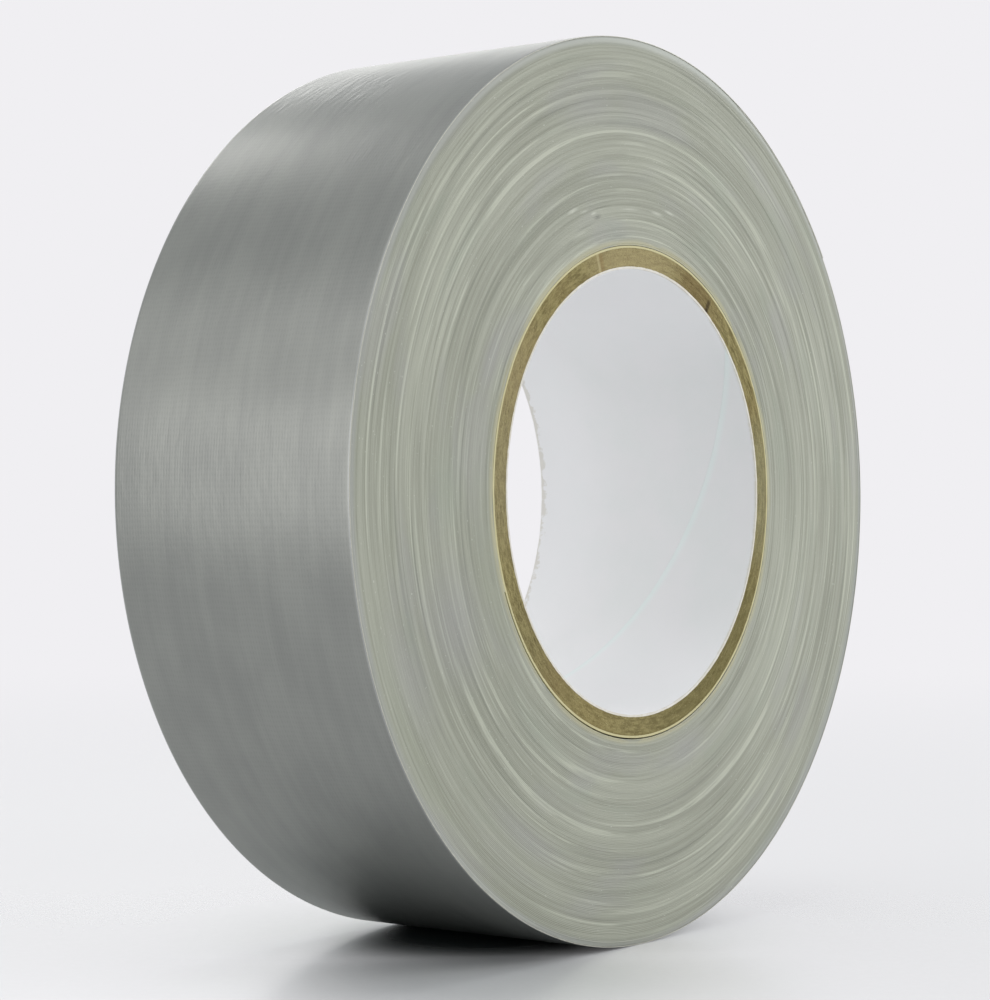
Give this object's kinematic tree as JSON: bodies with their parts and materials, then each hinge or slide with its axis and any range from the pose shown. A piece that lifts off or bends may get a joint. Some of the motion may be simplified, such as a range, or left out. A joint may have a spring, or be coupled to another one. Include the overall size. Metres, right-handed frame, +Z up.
{
  "type": "duct tape roll",
  "caption": "Cylindrical roll of wide silver cloth-backed adhesive tape wound on a spiral paperboard core, with a free end that peels up to be gripped.",
  "frame": {"origin": "on the roll's axis, half way across its width, in the middle of the core's bore", "axes": "+Y along the roll's axis, away from the front side face; +Z up, away from the tread facet the roll stands on; +X towards the side with the strip's free end"},
  "size_m": [0.1542, 0.0486, 0.1543],
  "materials": {
    "silver_film": "satin",
    "wound_tape": "matte",
    "cloth_scrim": "matte",
    "rubber_adhesive": "satin",
    "core_board": "matte",
    "liner_paper": "matte",
    "cream_paper": "matte"
  },
  "bodies": {
    "roll": {"core_liner": "liner_paper", "core_outer_ply": "cream_paper", "tape_first_turn": "wound_tape", "tape_windings": "wound_tape", "core_ply_1": "core_board", "core_ply_2": "core_board", "core_ply_3": "core_board", "core_ply_4": "core_board", "core_ply_5": "core_board", "outer_turn_film": "silver_film", "outer_turn_scrim": "cloth_scrim", "outer_turn_adhesive": "rubber_adhesive"},
    "free_end_1": {"free_end_1_film": "silver_film", "free_end_1_scrim": "cloth_scrim", "free_end_1_adhesive": "rubber_adhesive"},
    "free_end_2": {"free_end_2_film": "silver_film", "free_end_2_scrim": "cloth_scrim", "free_end_2_adhesive": "rubber_adhesive"},
    "free_end_3": {"free_end_3_film": "silver_film", "free_end_3_scrim": "cloth_scrim", "free_end_3_adhesive": "rubber_adhesive"},
    "free_end_4": {"free_end_4_film": "silver_film", "free_end_4_scrim": "cloth_scrim", "free_end_4_adhesive": "rubber_adhesive"}
  },
  "joints": [
    {"name": "peel_root", "type": "hinge", "parent": "roll", "child": "free_end_1", "pos_m": [0.03189, 0, 0.07039], "axis": [0, -1, 0], "range_deg": [0, 40]},
    {"name": "peel_bend_2", "type": "hinge", "parent": "free_end_1", "child": "free_end_2", "pos_m": [0.04081, 0, 0.06563], "axis": [0, -1, 0], "range_deg": [0, 35]},
    {"name": "peel_bend_3", "type": "hinge", "parent": "free_end_2", "child": "free_end_3", "pos_m": [0.04903, 0, 0.05975], "axis": [0, -1, 0], "range_deg": [0, 25]},
    {"name": "peel_bend_4", "type": "hinge", "parent": "free_end_3", "child": "free_end_4", "pos_m": [0.05641, 0, 0.05284], "axis": [0, -1, 0], "range_deg": [0, 15]}
  ],
  "couplings": [
    {"joint": "peel_bend_2", "follows": "peel_root", "ratio": 0.875},
    {"joint": "peel_bend_3", "follows": "peel_root", "ratio": 0.625},
    {"joint": "peel_bend_4", "follows": "peel_root", "ratio": 0.375}
  ]
}
